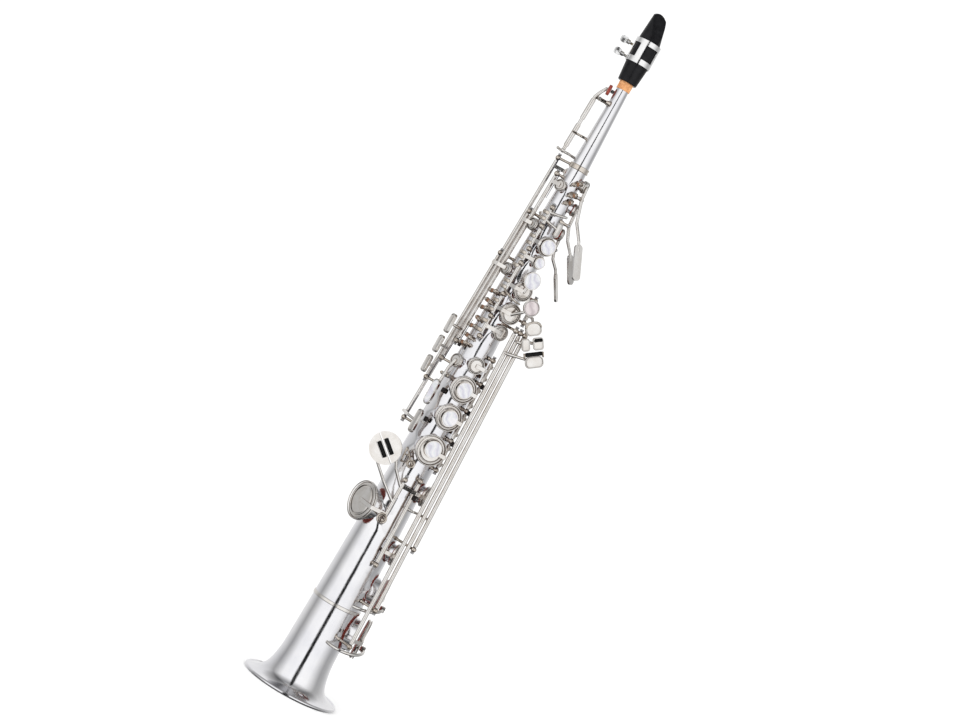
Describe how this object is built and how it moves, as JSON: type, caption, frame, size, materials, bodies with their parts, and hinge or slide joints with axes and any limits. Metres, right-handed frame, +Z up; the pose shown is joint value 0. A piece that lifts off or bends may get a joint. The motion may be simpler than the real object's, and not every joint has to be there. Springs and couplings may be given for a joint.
{
  "type": "soprano saxophone",
  "caption": "Straight one-piece soprano saxophone: conical silver tube with flared bell, padded cups on hinged keys, long rods, octave lever and clamped-reed mouthpiece.",
  "frame": {"origin": "centre of the bell's rim, on the plane the rim stands on", "axes": "+Z up the tube towards the mouthpiece, -Y the front with the finger keys, +X the side of the player's left hand"},
  "size_m": [0.1033, 0.092, 0.69],
  "materials": {
    "tube_silver": "bright polished silver plate",
    "keywork": "bright polished silver plate, slightly warm",
    "ligature_silver": "bright plated",
    "rod_steel": "turned steel",
    "pad_leather": "waxed dark red-brown leather",
    "pearl": "polished pearl",
    "roller": "black resin",
    "felt": "dense felt",
    "cork": "greased cork",
    "rest_plastic": "black resin",
    "ebonite": "polished hard rubber",
    "cane": "scraped cane"
  },
  "bodies": {
    "body": {"bell": "tube_silver", "bell_ring": "tube_silver", "body_tube": "tube_silver", "guard_felts": "felt", "hinge_rods": "rod_steel", "key_guards": "keywork", "lower_posts": "keywork", "neck_cork": "cork", "strap_ring": "keywork", "thumb_hook": "keywork", "thumb_rest": "rest_plastic", "upper_posts": "keywork"},
    "mouthpiece": {"mouthpiece": "ebonite", "reed": "cane", "ligature": "ligature_silver"},
    "ligature_screw_low": {"ligature_screw_low": "ligature_silver"},
    "ligature_screw_high": {"ligature_screw_high": "ligature_silver"},
    "a": {"a_key": "keywork", "a_pearl": "pearl"},
    "b": {"b_key": "keywork", "b_pearl": "pearl"},
    "bis": {"bis_key": "keywork", "bis_pearl": "pearl"},
    "body_octave": {"body_octave_key": "keywork"},
    "cs_lever": {"cs_lever_key": "keywork"},
    "d": {"d_key": "keywork", "d_pearl": "pearl"},
    "e": {"e_key": "keywork", "e_pearl": "pearl"},
    "f": {"f_key": "keywork", "f_pearl": "pearl"},
    "front_f": {"front_f_key": "keywork"},
    "fs": {"fs_key": "keywork"},
    "fs_trill": {"fs_trill_key": "keywork"},
    "g": {"g_key": "keywork"},
    "gs": {"gs_key": "keywork"},
    "gs_lever": {"gs_lever_key": "keywork"},
    "high_fs": {"high_fs_key": "keywork"},
    "low_b": {"low_b_key": "keywork", "low_b_pad": "pad_leather"},
    "low_bb": {"low_bb_key": "keywork", "low_bb_pad": "pad_leather"},
    "low_c": {"low_c_key": "keywork", "low_c_pad": "pad_leather"},
    "low_cs": {"low_cs_key": "keywork", "low_cs_pad": "pad_leather"},
    "low_eb": {"low_eb_key": "keywork", "low_eb_pad": "pad_leather"},
    "neck_octave": {"neck_octave_key": "keywork", "neck_octave_pad": "pad_leather"},
    "palm_d": {"palm_d_key": "keywork"},
    "palm_eb": {"palm_eb_key": "keywork"},
    "palm_f": {"palm_f_key": "keywork"},
    "side_bb": {"side_bb_key": "keywork"},
    "side_c": {"side_c_key": "keywork"},
    "side_e": {"side_e_key": "keywork"},
    "thumb": {"thumb_key": "keywork"},
    "low_eb_roller": {"low_eb_roller": "roller"},
    "low_c_roller": {"low_c_roller": "roller"}
  },
  "joints": [
    {"name": "a_hinge", "type": "hinge", "parent": "body", "child": "a", "pos_m": [-0.00493, -0.0184, 0.36], "axis": [0.0084, 0.0314, 0.9995], "range_deg": [0, 9], "stiffness_Nm_per_rad": 0.02, "springref_deg": -11.46},
    {"name": "b_hinge", "type": "hinge", "parent": "body", "child": "b", "pos_m": [-0.00493, -0.0184, 0.36], "axis": [0.0084, 0.0314, 0.9995], "range_deg": [0, 9], "stiffness_Nm_per_rad": 0.02, "springref_deg": -11.46},
    {"name": "bis_hinge", "type": "hinge", "parent": "body", "child": "bis", "pos_m": [-0.00493, -0.0184, 0.36], "axis": [0.0084, 0.0314, 0.9995], "range_deg": [0, 8], "stiffness_Nm_per_rad": 0.02, "springref_deg": -11.46},
    {"name": "body_octave_hinge", "type": "hinge", "parent": "body", "child": "body_octave", "pos_m": [-0.00624, 0.01402, 0.483], "axis": [-0.9135, -0.4067, 0], "range_deg": [0, 5], "stiffness_Nm_per_rad": 0.02, "springref_deg": -11.46},
    {"name": "cs_lever_hinge", "type": "hinge", "parent": "body", "child": "cs_lever", "pos_m": [0.03688, -0.01879, 0.165], "axis": [-0.0289, 0.0147, 0.9995], "range_deg": [0, 5], "stiffness_Nm_per_rad": 0.04, "springref_deg": -11.46},
    {"name": "d_hinge", "type": "hinge", "parent": "body", "child": "d", "pos_m": [0.01994, -0.0106, 0.236], "axis": [-0.0287, 0.0153, 0.9995], "range_deg": [-9, 0], "stiffness_Nm_per_rad": 0.02, "springref_deg": 11.46},
    {"name": "e_hinge", "type": "hinge", "parent": "body", "child": "e", "pos_m": [0.01994, -0.0106, 0.236], "axis": [-0.0287, 0.0153, 0.9995], "range_deg": [-9, 0], "stiffness_Nm_per_rad": 0.02, "springref_deg": 11.46},
    {"name": "f_hinge", "type": "hinge", "parent": "body", "child": "f", "pos_m": [0.01994, -0.0106, 0.236], "axis": [-0.0287, 0.0153, 0.9995], "range_deg": [-9, 0], "stiffness_Nm_per_rad": 0.02, "springref_deg": 11.46},
    {"name": "front_f_hinge", "type": "hinge", "parent": "body", "child": "front_f", "pos_m": [-0.00493, -0.0184, 0.36], "axis": [0.0084, 0.0314, 0.9995], "range_deg": [0, 7], "stiffness_Nm_per_rad": 0.02, "springref_deg": -11.46},
    {"name": "fs_hinge", "type": "hinge", "parent": "body", "child": "fs", "pos_m": [0.01994, -0.0106, 0.236], "axis": [-0.0287, 0.0153, 0.9995], "range_deg": [-8, 0], "stiffness_Nm_per_rad": 0.02, "springref_deg": 11.46},
    {"name": "fs_trill_hinge", "type": "hinge", "parent": "body", "child": "fs_trill", "pos_m": [-0.01486, -0.01486, 0.315], "axis": [0.7071, -0.7071, 0], "range_deg": [0, 6], "stiffness_Nm_per_rad": 0.02, "springref_deg": -11.46},
    {"name": "g_hinge", "type": "hinge", "parent": "body", "child": "g", "pos_m": [-0.00493, -0.0184, 0.36], "axis": [0.0084, 0.0314, 0.9995], "range_deg": [0, 9], "stiffness_Nm_per_rad": 0.02, "springref_deg": -11.46},
    {"name": "gs_hinge", "type": "hinge", "parent": "body", "child": "gs", "pos_m": [-0.00493, -0.0184, 0.36], "axis": [0.0084, 0.0314, 0.9995], "range_deg": [-9, 0], "stiffness_Nm_per_rad": 0.02, "springref_deg": 11.46},
    {"name": "gs_lever_hinge", "type": "hinge", "parent": "body", "child": "gs_lever", "pos_m": [0.02414, -0.00692, 0.389], "axis": [-0.0312, 0.009, 0.9995], "range_deg": [0, 7], "stiffness_Nm_per_rad": 0.02, "springref_deg": -11.46},
    {"name": "high_fs_hinge", "type": "hinge", "parent": "body", "child": "high_fs", "pos_m": [-0.02878, 0.01662, 0.262], "axis": [0.0281, -0.0162, 0.9995], "range_deg": [0, 7], "stiffness_Nm_per_rad": 0.04, "springref_deg": -11.46},
    {"name": "low_b_hinge", "type": "hinge", "parent": "body", "child": "low_b", "pos_m": [0.03352, -0.02177, 0.101], "axis": [-0.0272, 0.0177, 0.9995], "range_deg": [0, 12], "stiffness_Nm_per_rad": 0.05, "springref_deg": -11.46},
    {"name": "low_bb_hinge", "type": "hinge", "parent": "body", "child": "low_bb", "pos_m": [0.02929, -0.02458, 0.062], "axis": [-0.0249, 0.0209, 0.9995], "range_deg": [0, 13], "stiffness_Nm_per_rad": 0.06, "springref_deg": -11.46},
    {"name": "low_c_hinge", "type": "hinge", "parent": "body", "child": "low_c", "pos_m": [0, -0.02606, 0.175], "axis": [0, 0.0325, 0.9995], "range_deg": [-10, 0], "stiffness_Nm_per_rad": 0.05, "springref_deg": 11.46},
    {"name": "low_cs_hinge", "type": "hinge", "parent": "body", "child": "low_cs", "pos_m": [0.01405, -0.02164, 0.137], "axis": [-0.0177, 0.0272, 0.9995], "range_deg": [-9, 0], "stiffness_Nm_per_rad": 0.04, "springref_deg": 11.46},
    {"name": "low_eb_hinge", "type": "hinge", "parent": "body", "child": "low_eb", "pos_m": [0, -0.02606, 0.175], "axis": [0, 0.0325, 0.9995], "range_deg": [-7, 0], "stiffness_Nm_per_rad": 0.04, "springref_deg": 11.46},
    {"name": "neck_octave_hinge", "type": "hinge", "parent": "body", "child": "neck_octave", "pos_m": [-0.01435, 0, 0.597], "axis": [0, -1, 0], "range_deg": [0, 3.5], "stiffness_Nm_per_rad": 0.03, "springref_deg": -11.46},
    {"name": "palm_d_hinge", "type": "hinge", "parent": "body", "child": "palm_d", "pos_m": [0.01528, 0.00812, 0.46], "axis": [-0.4695, 0.8829, 0], "range_deg": [0, 6], "stiffness_Nm_per_rad": 0.03, "springref_deg": -11.46},
    {"name": "palm_eb_hinge", "type": "hinge", "parent": "body", "child": "palm_eb", "pos_m": [0.01646, 0.00144, 0.484], "axis": [-0.0872, 0.9962, 0], "range_deg": [0, 6], "stiffness_Nm_per_rad": 0.03, "springref_deg": -11.46},
    {"name": "palm_f_hinge", "type": "hinge", "parent": "body", "child": "palm_f", "pos_m": [0.01473, -0.00536, 0.51], "axis": [0.342, 0.9397, 0], "range_deg": [0, 6], "stiffness_Nm_per_rad": 0.035, "springref_deg": -11.46},
    {"name": "side_bb_hinge", "type": "hinge", "parent": "body", "child": "side_bb", "pos_m": [-0.02888, 0.00938, 0.304], "axis": [0.0309, -0.01, 0.9995], "range_deg": [-7, 0], "stiffness_Nm_per_rad": 0.02, "springref_deg": 11.46},
    {"name": "side_c_hinge", "type": "hinge", "parent": "body", "child": "side_c", "pos_m": [-0.02497, 0.00307, 0.326], "axis": [0.0322, -0.004, 0.9995], "range_deg": [-7, 0], "stiffness_Nm_per_rad": 0.02, "springref_deg": 11.46},
    {"name": "side_e_hinge", "type": "hinge", "parent": "body", "child": "side_e", "pos_m": [-0.02069, -0.00365, 0.346], "axis": [0.032, 0.0056, 0.9995], "range_deg": [-7, 0], "stiffness_Nm_per_rad": 0.02, "springref_deg": 11.46},
    {"name": "thumb_hinge", "type": "hinge", "parent": "body", "child": "thumb", "pos_m": [0.00427, 0.01595, 0.438], "axis": [-0.0084, -0.0314, 0.9995], "range_deg": [0, 7], "stiffness_Nm_per_rad": 0.02, "springref_deg": -11.46},
    {"name": "mouthpiece_slide", "type": "slide", "parent": "body", "child": "mouthpiece", "axis": [0, 0, 1], "range_m": [-0.003, 0.01]},
    {"name": "ligature_screw_low_turn", "type": "hinge", "parent": "mouthpiece", "child": "ligature_screw_low", "pos_m": [-0.00662, 0.01245, 0.643], "axis": [-0.8829, -0.4695, 0], "continuous": true},
    {"name": "ligature_screw_high_turn", "type": "hinge", "parent": "mouthpiece", "child": "ligature_screw_high", "pos_m": [-0.00662, 0.01245, 0.655], "axis": [-0.8829, -0.4695, 0], "continuous": true},
    {"name": "low_eb_roller_turn", "type": "hinge", "parent": "low_eb", "child": "low_eb_roller", "pos_m": [-0.02677, -0.03143, 0.23561], "axis": [-0.7527, 0.1536, 0.6401], "continuous": true},
    {"name": "low_c_roller_turn", "type": "hinge", "parent": "low_c", "child": "low_c_roller", "pos_m": [-0.03103, -0.03056, 0.23039], "axis": [-0.7527, 0.1536, 0.6401], "continuous": true}
  ],
  "couplings": [
    {"joint": "fs_hinge", "follows": "f_hinge", "ratio": 0.888},
    {"joint": "gs_hinge", "follows": "gs_lever_hinge", "ratio": -1.2844},
    {"joint": "low_cs_hinge", "follows": "cs_lever_hinge", "ratio": -1.7982},
    {"joint": "neck_octave_hinge", "follows": "thumb_hinge", "ratio": 0.4995}
  ]
}
